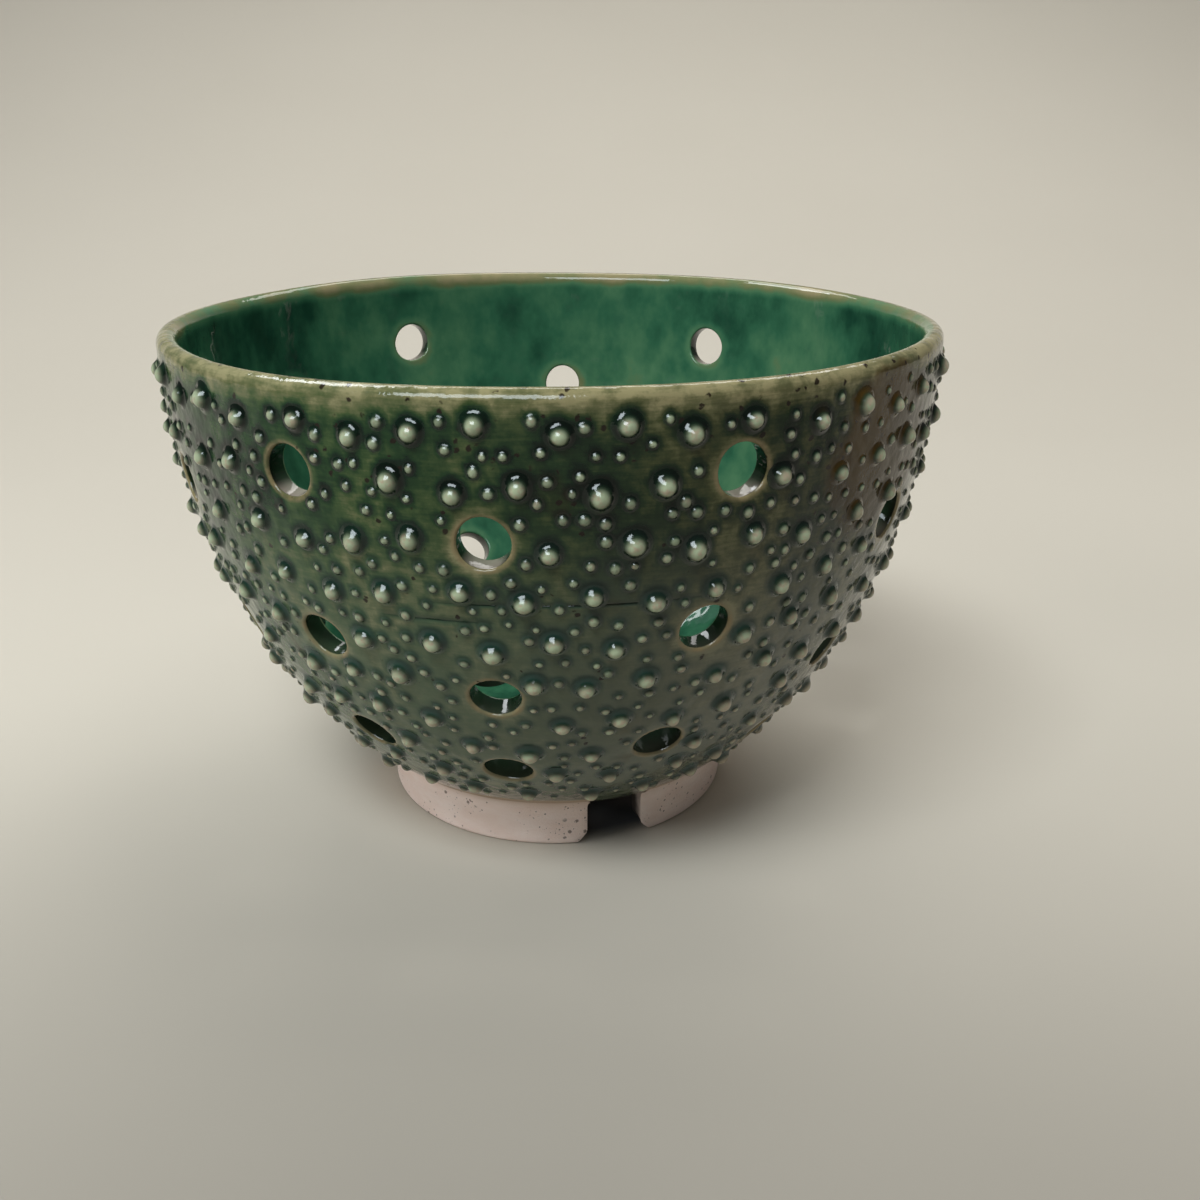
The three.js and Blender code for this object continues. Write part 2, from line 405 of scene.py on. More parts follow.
def pierce(skin, front, back, skip, centre, axis, seed):
    """Cuts one round hole through a front and a back grid and lines it."""
    points = skin.all_points()
    here = points[front] - centre
    along = here @ axis
    across = here - along[..., None] * axis
    inside = (np.linalg.norm(across, axis=-1) < HOLE_RADIUS + HOLE_EDGE) & (np.abs(along) < HOLE_SPAN)
    right = np.roll(inside, -1, axis=1)
    cut = inside[:-1] | right[:-1] | inside[1:] | right[1:]
    skip |= cut
    touched = np.zeros_like(inside)
    for cells in (cut, np.roll(cut, 1, axis=1)):
        touched[:-1] |= cells
        touched[1:] |= cells
    rows, columns = np.nonzero(touched & ~inside)

    upright = abs(axis[2]) == 1
    side = np.array([1.0, 0.0, 0.0]) if upright else np.cross(axis, [0.0, 0.0, 1.0])
    side /= np.linalg.norm(side)
    other = np.cross(axis, side)
    edge = across[rows, columns]
    turn = np.arctan2(edge @ other, edge @ side)
    order = np.argsort(turn)
    rows, columns, turn = rows[order], columns[order], turn[order]
    way = np.cos(turn)[:, None] * side + np.sin(turn)[:, None] * other
    bore = HOLE_RADIUS * (1 + waves(turn, [(count, size, phase * seed) for count, size, phase in HOLE_WAVES]))

    def ring(out, depth):
        return centre + way * (bore + out)[:, None] + axis * depth[:, None]

    def rim_depth(loop):
        """Depth along the axis where the wall meets the hole's rim, from the grid points round it."""
        place = points[loop] - centre
        depth = place @ axis
        reach = np.linalg.norm(place - depth[:, None] * axis, axis=1)
        return depth.mean() + (depth - depth.mean()) * ((bore + HOLE_EDGE) / reach) ** 2

    front_loop, back_loop = front[rows, columns], back[rows, columns]
    top, bottom = rim_depth(front_loop), rim_depth(back_loop)
    points[front_loop] = ring(HOLE_EDGE, top)
    points[back_loop] = ring(HOLE_EDGE, bottom)
    skin.points = [points]
    skin.tube(front_loop, back_loop, ring, top, bottom, step(-way[:, 2], *SILL_DOWN))


def inner_rows(drops):
    """Radius and level on the inside, straight through the wall from each drop on the outside."""
    turn = np.linspace(0, math.pi / 2, INNER_STEPS)
    radius = FLOOR_FLAT_RADIUS + (INNER_RADIUS - FLOOR_FLAT_RADIUS) * np.cos(turn)
    level = WIDEST - (WIDEST - FLOOR_LEVEL) * np.sin(turn)
    inside = np.stack([np.append(radius, 0), np.append(level, FLOOR_LEVEL)], -1)
    found = []
    for r, z, out, up in zip(*wall_profile(drops)):
        cross = (inside[:, 0] - r) * up - (inside[:, 1] - z) * out
        k = np.nonzero(np.diff(np.sign(cross)))[0][0]
        share = cross[k] / (cross[k] - cross[k + 1])
        found.append(inside[k] + share * (inside[k + 1] - inside[k]))
    return np.array(found).T


def floor_level(radius):
    """Level of the inside at a radius below the wall's curve."""
    share = np.clip((radius - FLOOR_FLAT_RADIUS) / (INNER_RADIUS - FLOOR_FLAT_RADIUS), 0, 1)
    return WIDEST - (WIDEST - FLOOR_LEVEL) * np.sqrt(1 - share**2)


def joined(skin, ring, fine):
    """Faces between a ring of floor columns and a ring of wall columns, which are finer."""
    number = len(ring)
    for i in range(number):
        outer = [fine[(i * FLOOR_SHARE + k) % len(fine)] for k in range(FLOOR_SHARE + 1)]
        skin.faces.append([int(n) for n in outer] + [int(ring[(i + 1) % number]), int(ring[i])])


def groove_depths(drops, angles):
    """How deep the potter's tool marks lie at drops and angles (in radians)."""
    depth = np.zeros(np.broadcast(drops, angles).shape)
    for groove in GROOVES:
        near = np.abs(drops - groove[0]) < GROOVE_WIDTH / 4
        depth = np.maximum(depth, groove[3] * groove_reach(angles, groove) * near)
    return depth


def wall_drops():
    """Drops of the wall's rows: even, with three rows at each groove."""
    rows = int((WALL_LENGTH - LIP_HEIGHT) / ROW)
    drops = np.linspace(LIP_HEIGHT, WALL_LENGTH, rows + 1)
    for at, _, _, _ in GROOVES:
        drops = drops[np.abs(drops - at) > GROOVE_WIDTH]
        drops = np.sort(np.append(drops, [at - GROOVE_WIDTH / 2, at, at + GROOVE_WIDTH / 2]))
    return drops


def bowl_body():
    """The bowl's outside, inside, lip, floor and drain holes."""
    skin = Skin()
    angles = np.linspace(0, 2 * math.pi, COLUMNS, endpoint=False)

    def turned(radius, level, turns):
        return skin.add(around(radius[:, None], np.asarray(level)[..., None], turns[None, :]))

    drops = wall_drops()
    radius, level, out, up = wall_profile(drops)
    cut = groove_depths(drops[:, None], angles[None, :])
    marked = (radius[:, None] - cut * out[:, None], level[:, None] - cut * up[:, None])
    outer = skin.add(around(*marked, angles[None, :]))
    in_radius, in_level = inner_rows(drops)
    inner = turned(in_radius, in_level, angles)

    lip = LIP_THICKNESS / 2
    over = np.linspace(0, math.pi, LIP_ROWS)
    lip_rows = turned(RIM_RADIUS - lip + lip * np.cos(over), HEIGHT - lip + lip * np.sin(over), angles)

    floor_columns = COLUMNS // FLOOR_SHARE
    floor_angles = np.linspace(0, 2 * math.pi, floor_columns, endpoint=False)
    reach = in_radius[-1]
    floor_radii = np.linspace(reach - FLOOR_JOIN, HOLE_RADIUS + HOLE_EDGE, FLOOR_RINGS)
    top = turned(floor_radii, floor_level(floor_radii), floor_angles)
    under = turned(floor_radii, FOOT_HEIGHT, floor_angles)
    seat_radii = np.array([SEAT_RADIUS, (SEAT_RADIUS + reach) / 2]) - FLOOR_JOIN
    seat = turned(seat_radii, FOOT_HEIGHT, floor_angles)

    skip = np.zeros((len(drops) - 1, COLUMNS), bool)
    for k, (centre, axis) in enumerate(zip(hole_points, hole_axes)):
        pierce(skin, outer, inner, skip, centre, axis, WALL_HOLE_SEED * k)
    floor_skip = np.zeros((FLOOR_RINGS - 1, floor_columns), bool)
    for k in range(FLOOR_HOLE_COUNT):
        centre = around(FLOOR_HOLE_REACH, FLOOR_LEVEL, 2 * math.pi * k / FLOOR_HOLE_COUNT)
        pierce(skin, top, under, floor_skip, centre, np.array([0.0, 0.0, 1.0]), FLOOR_HOLE_SEED * k)

    def middle_ring(wider, depth):
        return around(HOLE_RADIUS + wider, depth, floor_angles)

    skin.tube(top[-1], under[-1], middle_ring, FLOOR_LEVEL, FOOT_HEIGHT, np.zeros(floor_columns))
    skin.quads(outer, skip)
    skin.quads(inner, skip)
    skin.quads(np.concatenate([outer[:1], lip_rows, inner[:1]]))
    skin.quads(top, floor_skip)
    skin.quads(under, floor_skip)
    skin.quads(np.concatenate([seat, under[:1]]))
    joined(skin, top[0], inner[-1])
    joined(skin, seat[0], outer[-1])
    return skin


def made(name, points, faces, material):
    """An object from points in millimetres, with loose points dropped and its faces turned outwards."""
    mesh = bpy.data.meshes.new(name)
    used = np.zeros(len(points), bool)
    used[[n for face in faces for n in face]] = True
    numbers = np.cumsum(used) - 1
    mesh.from_pydata((points[used] * MM).tolist(), [], [[int(numbers[n]) for n in face] for face in faces])
    work = bmesh.new()
    work.from_mesh(mesh)
    bmesh.ops.recalc_face_normals(work, faces=work.faces)
    work.to_mesh(mesh)
    work.free()
    mesh.shade_smooth()
    mesh.set_sharp_from_angle(angle=CREASE)
    mesh.materials.append(material)
    piece = bpy.data.objects.new(name, mesh)
    bpy.context.collection.objects.link(piece)
    return piece, used


def note(piece, name, values):
    """Keeps one number for each vertex, for the material to read."""
    attribute = piece.data.attributes.new(name, "FLOAT", "POINT")
    attribute.data.foreach_set("value", np.asarray(values, np.float32))


def settle(piece, points):
    """Puts a piece's vertices where the unevenness of the bowl takes them."""
    piece.data.vertices.foreach_set("co", (thrown(points) * MM).ravel())
    piece.data.update()


# Materials


class Nodes:
    """A material's node tree, written as sums and mixes."""

    def __init__(self, name):
        self.material = bpy.data.materials.new(name)
        self.material.use_nodes = True
        self.tree = self.material.node_tree
        self.shader = self.tree.nodes["Principled BSDF"]

    def give(self, socket, value):
        if isinstance(value, bpy.types.NodeSocket):
            self.tree.links.new(value, socket)
        else:
            socket.default_value = value

    def add(self, kind, inputs, **settings):
        node = self.tree.nodes.new(kind)
        for key, value in settings.items():
            setattr(node, key, value)
        for key, value in inputs.items():
            self.give(node.inputs[key], value)
        return node

    def math(self, operation, first, *others):
        """One operation over two or more values, from the first to the last."""
        for other in others:
            first = self.add("ShaderNodeMath", {0: first, 1: other}, operation=operation).outputs[0]
        return first

    def plus(self, *values):
        return self.math("ADD", *values)

    def times(self, *values):
        return self.math("MULTIPLY", *values)

    def fade(self, value, low, high, to_low=0.0, to_high=1.0):
        """A smooth step from one value to another, held at both ends."""
        inputs = {"Value": value, "From Min": low, "From Max": high, "To Min": to_low, "To Max": to_high}
        return self.add("ShaderNodeMapRange", inputs, interpolation_type="SMOOTHSTEP").outputs[0]

    def mix(self, share, a, b):
        return self.add("ShaderNodeMix", {0: share, 6: a, 7: b}, data_type="RGBA").outputs[2]

    def ramp(self, value, stops):
        node = self.add("ShaderNodeValToRGB", {"Fac": value})
        ramp = node.color_ramp
        while len(ramp.elements) < len(stops):
            ramp.elements.new(0.5)
        for element, (place, colour) in zip(ramp.elements, stops):
            element.position = place
            element.color = (*colour, 1)
        return node.outputs["Color"]

    def noted(self, name):
        return self.add("ShaderNodeAttribute", {}, attribute_name=name).outputs["Fac"]

    def vector(self, operation, a, b=(0, 0, 0), output=0):
        return self.add("ShaderNodeVectorMath", {0: a, 1: b}, operation=operation).outputs[output]

    def place(self, stretch=(1, 1, 1)):
        """Position on the object in millimetres, stretched along its axes."""
        where = self.add("ShaderNodeTexCoord", {}).outputs["Object"]
        return self.vector("MULTIPLY", where, tuple(s / MM for s in stretch))

    def along(self, axis):
        """Position on the object along one axis, in millimetres."""
        return self.add("ShaderNodeSeparateXYZ", {0: self.place()}).outputs[axis]

    def noise(self, pattern):
        stretch, scale, detail, roughness = pattern
        inputs = {"Vector": self.place(stretch), "Scale": scale, "Detail": detail, "Roughness": roughness}
        return self.add("ShaderNodeTexNoise", inputs).outputs["Fac"]

    def specks(self, bend, scale, size):
        """Scattered dots, bent by a noise: 1 inside a dot, 0 outside."""
        where = self.vector("ADD", self.place(), self.noise(bend))
        inputs = {"Vector": where, "Scale": scale, "Randomness": 1.0}
        near = self.add("ShaderNodeTexVoronoi", inputs).outputs["Distance"]
        return self.fade(near, size * SPECK_CORE, size, 1.0, 0.0)

    def bump(self, height, distance, strength, normal=None):
        inputs = {"Height": height, "Distance": distance, "Strength": strength}
        if normal is not None:
            inputs["Normal"] = normal
        return self.add("ShaderNodeBump", inputs).outputs["Normal"]

    def surface(self, **inputs):
        for key, value in inputs.items():
            self.give(self.shader.inputs[key.replace("_", " ")], value)
        return self.material


# Glaze colours by how thick it lies, from where it breaks over an edge to where it pools
GREEN_GLAZE = [
    (0.0, (0.3, 0.285, 0.15)),
    (0.16, (0.14, 0.155, 0.07)),
    (0.34, (0.048, 0.092, 0.031)),
    (0.54, (0.013, 0.049, 0.016)),
    (0.76, (0.002, 0.018, 0.009)),
    (1.0, (0.0005, 0.006, 0.003)),
]
OLIVE_GLAZE = [
    (0.0, (0.3, 0.27, 0.14)),
    (0.16, (0.14, 0.14, 0.065)),
    (0.34, (0.055, 0.062, 0.024)),
    (0.54, (0.013, 0.027, 0.011)),
    (0.76, (0.003, 0.012, 0.006)),
    (1.0, (0.001, 0.005, 0.003)),
]
INSIDE_GLAZE = [
    (0.0, (0.3, 0.265, 0.14)),
    (0.2, (0.17, 0.2, 0.09)),
    (0.4, (0.085, 0.215, 0.11)),
    (0.6, (0.036, 0.14, 0.075)),
    (0.8, (0.012, 0.062, 0.036)),
    (1.0, (0.003, 0.018, 0.011)),
]
BEAD_TIP = (0.43, 0.515, 0.34, 1)
BEAD_BUFF = (0.46, 0.385, 0.275, 1)
BEAD_FLANK = (0.008, 0.026, 0.012, 1)
# Painted shade inside the bores, and a painted reflection of the pale backdrop on their lower faces
BORE = (0.006, 0.007, 0.003, 1)
BORE_SILL_REFLECTION = (0.3, 0.26, 0.215, 1)
IRON = (0.012, 0.006, 0.004, 1)
IRON_WASH = (0.07, 0.038, 0.003, 1)
IRON_DARK = (0.026, 0.015, 0.002, 1)
# Painted sheen low on the wall: the pale floor's reflection, as colour
PAINTED_SHEEN = (0.14, 0.152, 0.116, 1)
PAINTED_SHEEN_GREEN = (0.1, 0.152, 0.094, 1)
POOL_TEAL = (0.014, 0.052, 0.041, 1)
HOLE_RIM = (0.27, 0.21, 0.11, 1)
CLAY = (0.87, 0.705, 0.635, 1)
CLAY_PALE = (0.92, 0.79, 0.735, 1)
# Bare clay in painted shade under the bowl's belly
CLAY_DARK = (0.42, 0.31, 0.23, 1)
CLAY_SPECK = (0.09, 0.05, 0.03, 1)
# Painted shade inside the foot ring
CLAY_RING_SHADE = (0.07, 0.05, 0.035, 1)
PAPER = [(0.585, 0.553, 0.474, 1), (0.625, 0.593, 0.514, 1)]
# Painted shade: the floor's colour deeper towards the front
PAPER_NEAR = (0.285, 0.264, 0.225, 1)
# Painted shadow on the floor inside the foot ring
PAPER_PAINTED_SHADOW = (0.05, 0.04, 0.033, 1)

# Patterns: stretch along X, Y and Z, scale to the millimetre, detail, roughness
EVEN = (1, 1, 1)
RUNS = ((1, 1, 0.35), 0.05, 4.0, 0.6)
MOTTLE = (EVEN, 0.3, 4.0, 0.62)
THROWING_LINES = ((0.1, 0.1, 1.0), 1.6, 3.0, 0.6)
IRON_CLOUDS = ((1, 1, 0.6), 0.045, 3.0, 0.55)
IRON_EDGE = (EVEN, 0.14, 4.0, 0.6)
WEAR = (EVEN, 0.4, 3.0, 0.55)
PATCHES = ((1, 1, 0.8), 0.045, 4.0, 0.55)
CLOUDS = ((1, 1, 0.7), 0.12, 4.0, 0.6)
SPECK_BEND = (EVEN, 1.1, 2.0, 0.55)
SPECK_CROWDS = (EVEN, 0.16, 2.0, 0.55)
GLAZE_EDGE = (EVEN, 0.12, 2.0, 0.55)
GLAZE_SKIN = (EVEN, 0.45, 3.0, 0.55)
GLAZE_WAVES = (EVEN, 0.14, 2.0, 0.55)
BEAD_TONES = (EVEN, 0.9, 4.0, 0.65)
BEAD_SKIN = (EVEN, 1.6, 2.0, 0.55)
CLAY_TONES = ((1, 1, 2.5), 0.12, 5.0, 0.6)
CLAY_SPECK_BEND = (EVEN, 0.8, 3.0, 0.55)
CLAY_SPECK_CROWDS = (EVEN, 0.11, 2.0, 0.55)
CLAY_GRAIN = (EVEN, 2.2, 4.0, 0.7)
CLAY_TURNING = ((0.05, 0.05, 1), 1.8, 2.0, 0.55)
PAPER_TONES = (EVEN, 0.004, 2.0, 0.55)

# How thick the outer glaze lies: from one level or noise value to another, from one thickness to another
BELOW_LIP = (98.5, 93.5, -0.19, 0.15)
DOWN_WALL = (88.0, 56.0, 0.0, -0.22)
CALM = (91.0, 98.0)
RUN_VALUES = (0.28, 0.72)
RUN_LEAST = (0, 1, 0.16, 0.24)
RUN_MOST = (0, 1, 0.56, 0.36)
MOTTLE_DEPTH = (0.25, 0.75, -0.13, 0.13)
LINE_DEPTH = (0.3, 0.7, -0.05, 0.05)
HOLE_THIN = (2.6, 0.4, 0.0, -0.2)
LIP_BREAK = (98.0, 99.5, 0.0, -0.05)
BORE_DEPTH = 0.3
POOLING = 0.6

# The same inside the bowl
PATCH_DEPTH = (0.28, 0.72, 0.38, 0.7)
CLOUD_DEPTH = (0.25, 0.75, -0.11, 0.11)
INSIDE_LIP = (96.0, 98.8, 0.0, -0.42)
# Darker low down inside, partly glaze pooled on the floor and partly painted shade; painted shade at the left
# and right
INSIDE_LOW = (50.0, 20.0, 0.0, 0.2)
INSIDE_LEFT = (-42.0, -70.0, 0.0, 0.16)
INSIDE_RIGHT = (56.0, 72.0, 0.0, 0.2)

# Shares of the colours: from one place or noise value to another, from one share to another
OLIVE_SIDE = (-45.0, 35.0)
# Where the painted sheen low on the wall begins and is full, and how far pools hold it off
PAINTED_SHEEN_LOW = (84.0, 46.0, 0.0, 0.72)
PAINTED_SHEEN_OFF_POOL = (0.15, 1.0, 1.0, 0.1)
TEAL_LOW = (86.0, 50.0, 0.0, 0.7)
IRON_PATCH = (47.5, 15.0)  # angle and drop of the largest iron bleed
IRON_REACH = (6.0, 25.0, 0.5, 0.0)
IRON_RAGGED = 0.5
IRON_BLEED = (0.46, 0.62, 0.0, 0.9)
IRON_CLOUDED = (0.62, 0.74, 0.0, 0.6)
IRON_TONES = (0.35, 0.65)
RIM_GAP = (1.1, 0.3)
RIM_WORN = (0.35, 0.65, 0.35, 0.9)
# Share of the painted shade in a bore
BORE_SHARE = 0.75
# Levels where the painted reflection on a bore's lower face shows
SILL_LEVELS = (58.0, 78.0)
SPECK_CORE = 0.6  # share of a dot's size inside its soft edge
SPECK_SCALE = 0.4
SPECK_SIZE = 0.23
SPECK_SHARE = 0.92
SPECK_UPPER = (60.0, 100.0, 0.0, 0.2)
SPECK_LEAST = (0.6, 0.64)
GLAZE_END = (13.9, 13.5)
GLAZE_END_WAVE = 1.6
WARM_LOW = (70.0, 25.0, 0.0, 0.12)
WARM_SIDE = (0.0, 55.0, 0.0, 0.08)
WARM_TONES = (0.45, 0.72)
CLAY_PALENESS = (0.3, 0.75)
# Painted shade at the top of the foot, under the bowl's belly
CLAY_TOP = (7.5, 11.5, 0.0, 0.75)
# Where the painted shade inside the foot ring begins and is full
CLAY_INNER = (FOOT_RADIUS - 1.5, FOOT_RADIUS - 4.0, 0.0, 0.9)
CLAY_SPECKS = [(0.38, 0.19, 0.52), (0.75, 0.17, 0.46), (1.4, 0.15, 0.5)]  # scale, size, least crowding
CLAY_SPECK_SOFT = 0.04
CLAY_SPECK_SHARE = 0.75
# Where the painted shade on the floor deepens towards the front
PAPER_NEARNESS = (50.0, -205.0)
# Where the painted shadow inside the foot ring begins and is full
PAPER_SHADE = (FOOT_RADIUS, FOOT_RADIUS - FOOT_WALL)

# Surfaces: bump distances in metres, strengths outside and inside the bowl, roughness
SKIN_BUMP = 0.0002
SKIN_STRENGTH = (0.0, 1.0, 0.6, 0.06)
WAVE_BUMP = 0.0007
WAVE_STRENGTH = (0.0, 1.0, 0.6, 0.35)
BEAD_BUMP = (0.00008, 0.5)
GRAIN_BUMP = (0.00025, 0.6)
TURNING_BUMP = (0.0003, 0.35)
WALL_ROUGHNESS = (0.3, 0.7, 0.06, 0.12)
INSIDE_ROUGHNESS = (0.0, 1.0, 1.0, 0.5)
LARGE_ROUGHNESS = 0.1
SMALL_ROUGHNESS = 0.2
GLAZE_END_ROUGHNESS = 0.8
CLAY_ROUGHNESS = 0.88
PAPER_ROUGHNESS = 0.95
WALL_IOR = 1.4
BEAD_IOR = 1.52


def outside_depth(nodes):
    """How thick the outer glaze lies before beads and holes change it."""
    level = nodes.along("Z")
    calm = nodes.fade(level, *CALM)
    least, most = nodes.fade(calm, *RUN_LEAST), nodes.fade(calm, *RUN_MOST)
    runs = nodes.fade(nodes.noise(RUNS), *RUN_VALUES, least, most)
    mottle = nodes.fade(nodes.noise(MOTTLE), *MOTTLE_DEPTH)
    lines = nodes.fade(nodes.noise(THROWING_LINES), *LINE_DEPTH)
    return nodes.plus(runs, mottle, lines, nodes.fade(level, *BELOW_LIP), nodes.fade(level, *DOWN_WALL))


def outside_colour(nodes, depth):
    """Colour of the outer glaze: olive on one side, lighter grey-green low down where a painted sheen stands
    for the pale floor's reflection, brown where iron has bled into it.
    """
    level = nodes.along("Z")
    olive = nodes.fade(nodes.along("X"), *OLIVE_SIDE)
    pool = nodes.noted("pool")
    colour = nodes.mix(olive, nodes.ramp(depth, GREEN_GLAZE), nodes.ramp(depth, OLIVE_GLAZE))
    # Painted sheen: the pale floor's reflection low on the wall, as colour
    painted_sheen = nodes.times(nodes.fade(level, *PAINTED_SHEEN_LOW), nodes.fade(pool, *PAINTED_SHEEN_OFF_POOL))
    colour = nodes.mix(painted_sheen, colour, nodes.mix(olive, PAINTED_SHEEN_GREEN, PAINTED_SHEEN))
    colour = nodes.mix(nodes.times(nodes.fade(level, *TEAL_LOW), pool), colour, POOL_TEAL)
    clouds = nodes.noise(IRON_CLOUDS)
    gap = nodes.vector("DISTANCE", nodes.place(), tuple(on_wall(*IRON_PATCH)[0]), "Value")
    ragged = nodes.plus(nodes.times(nodes.noise(IRON_EDGE), IRON_RAGGED), nodes.fade(gap, *IRON_REACH))
    share = nodes.math("MAXIMUM", nodes.fade(clouds, *IRON_CLOUDED), nodes.fade(ragged, *IRON_BLEED))
    return nodes.mix(share, colour, nodes.mix(nodes.fade(clouds, *IRON_TONES), IRON_DARK, IRON_WASH))


def inside_colour(nodes, breaks):
    """Colour of the inner glaze: cloudy green, tan where it breaks at the lip, darker low down where glaze
    pools and painted shade falls, and painted shade at both sides.
    """
    level, across = nodes.along("Z"), nodes.along("X")
    clouds = nodes.plus(
        nodes.fade(nodes.noise(PATCHES), *PATCH_DEPTH),
        nodes.fade(nodes.noise(CLOUDS), *CLOUD_DEPTH),
    )
    # Darker low down, where glaze pools and painted shade falls, and painted shade at both sides
    dark = nodes.plus(
        nodes.fade(level, *INSIDE_LOW),
        nodes.fade(across, *INSIDE_LEFT),
        nodes.fade(across, *INSIDE_RIGHT),
    )
    depth = nodes.plus(clouds, dark, breaks, nodes.fade(level, *INSIDE_LIP))
    return nodes.ramp(depth, INSIDE_GLAZE)


def wall_glaze():
    """Glaze of the bowl, with its pools, holes, iron specks and the line where it ends above the foot."""
    nodes = Nodes("wall_glaze")
    level = nodes.along("Z")
    hole_gap, inside, bore = nodes.noted("hole_gap"), nodes.noted("inside"), nodes.noted("bore")
    open_wall = nodes.math("SUBTRACT", 1.0, bore)
    thin = nodes.times(nodes.fade(hole_gap, *HOLE_THIN), open_wall)
    breaks = nodes.plus(thin, nodes.fade(level, *LIP_BREAK))
    pool = nodes.times(nodes.noted("pool"), POOLING)
    depth = nodes.plus(outside_depth(nodes), pool, nodes.times(bore, BORE_DEPTH), breaks)
    worn = nodes.fade(nodes.noise(WEAR), *RIM_WORN)
    rim = nodes.times(nodes.fade(hole_gap, *RIM_GAP), worn, open_wall)
    outside = nodes.mix(rim, outside_colour(nodes, depth), HOLE_RIM)
    colour = nodes.mix(inside, outside, inside_colour(nodes, breaks))
    # Painted shade in the bores, with a painted reflection on the lower faces of the higher holes
    sill = nodes.times(nodes.noted("sill"), nodes.fade(level, *SILL_LEVELS))
    colour = nodes.mix(nodes.times(bore, BORE_SHARE), colour, nodes.mix(sill, BORE, BORE_SILL_REFLECTION))

    dots = nodes.specks(SPECK_BEND, SPECK_SCALE, SPECK_SIZE)
    crowd = nodes.plus(nodes.noise(SPECK_CROWDS), nodes.fade(level, *SPECK_UPPER))
    outer = nodes.math("SUBTRACT", 1.0, inside)
    dots = nodes.times(dots, nodes.fade(crowd, *SPECK_LEAST), outer, SPECK_SHARE)
    colour = nodes.mix(dots, colour, IRON)
    wavy = nodes.plus(nodes.times(nodes.noise(GLAZE_EDGE), GLAZE_END_WAVE), level)
    clay = nodes.times(nodes.fade(wavy, *GLAZE_END), nodes.noted("bare"))
    # Bare clay where the glaze ends, coloured in painted shade under the bowl's belly
    colour = nodes.mix(clay, colour, CLAY_DARK)

    skin = nodes.noise(GLAZE_SKIN)
    normal = nodes.bump(skin, SKIN_BUMP, nodes.fade(inside, *SKIN_STRENGTH))
    normal = nodes.bump(nodes.noise(GLAZE_WAVES), WAVE_BUMP, nodes.fade(inside, *WAVE_STRENGTH), normal)
    gloss = nodes.times(nodes.fade(skin, *WALL_ROUGHNESS), nodes.fade(inside, *INSIDE_ROUGHNESS))
    rough = nodes.math("MAXIMUM", gloss, nodes.times(clay, GLAZE_END_ROUGHNESS))
    return nodes.surface(Base_Color=colour, Roughness=rough, Normal=normal, IOR=WALL_IOR)


def bead_glaze(name, roughness):
    """Glaze of the slip beads: the wall's at the foot, dark on the flank, nearly bare on the cap."""
    nodes = Nodes(name)
    pool = nodes.times(nodes.noted("pool"), POOLING)
    foot = outside_colour(nodes, nodes.plus(outside_depth(nodes), pool))
    warm = nodes.plus(
        nodes.fade(nodes.along("Z"), *WARM_LOW),
        nodes.noise(BEAD_TONES),
        nodes.fade(nodes.along("X"), *WARM_SIDE),
    )
    tip = nodes.mix(nodes.fade(warm, *WARM_TONES), BEAD_TIP, BEAD_BUFF)
    colour = nodes.mix(nodes.noted("flank"), foot, BEAD_FLANK)
    colour = nodes.mix(nodes.noted("cap"), colour, tip)
    normal = nodes.bump(nodes.noise(BEAD_SKIN), *BEAD_BUMP)
    return nodes.surface(Base_Color=colour, Roughness=roughness, IOR=BEAD_IOR, Normal=normal)


def bare_clay():
    """Unglazed stoneware of the foot: pale and speckled, with painted shade under the bowl's belly and inside
    the ring.
    """
    nodes = Nodes("bare_clay")
    colour = nodes.mix(nodes.fade(nodes.noise(CLAY_TONES), *CLAY_PALENESS), CLAY, CLAY_PALE)
    # Painted shade at the top of the foot, under the bowl's belly
    colour = nodes.mix(nodes.fade(nodes.along("Z"), *CLAY_TOP), colour, CLAY_DARK)
    # Painted shade inside the foot ring
    reach = nodes.vector("LENGTH", nodes.vector("MULTIPLY", nodes.place(), (1, 1, 0)), output="Value")
    colour = nodes.mix(nodes.fade(reach, *CLAY_INNER), colour, CLAY_RING_SHADE)
    crowd = nodes.noise(CLAY_SPECK_CROWDS)
    for scale, size, least in CLAY_SPECKS:
        crowded = nodes.fade(crowd, least, least + CLAY_SPECK_SOFT)
        dots = nodes.times(nodes.specks(CLAY_SPECK_BEND, scale, size), crowded, CLAY_SPECK_SHARE)
        colour = nodes.mix(dots, colour, CLAY_SPECK)
    normal = nodes.bump(nodes.noise(CLAY_GRAIN), *GRAIN_BUMP)
    normal = nodes.bump(nodes.noise(CLAY_TURNING), *TURNING_BUMP, normal)
    return nodes.surface(Base_Color=colour, Roughness=CLAY_ROUGHNESS, Normal=normal)


def paper():
    """Pale paper of the floor, with painted shade that deepens towards the front and a painted shadow inside
    the foot ring.
    """
    nodes = Nodes("backdrop")
    colour = nodes.mix(nodes.noise(PAPER_TONES), *PAPER)
    # Painted shade, deeper towards the front
    colour = nodes.mix(nodes.fade(nodes.along("Y"), *PAPER_NEARNESS), colour, PAPER_NEAR)
    # Painted shadow on the floor inside the foot ring
    reach = nodes.vector("LENGTH", nodes.place(), output="Value")
    colour = nodes.mix(nodes.fade(reach, *PAPER_SHADE), colour, PAPER_PAINTED_SHADOW)
    return nodes.surface(Base_Color=colour, Roughness=PAPER_ROUGHNESS)


# The bowl


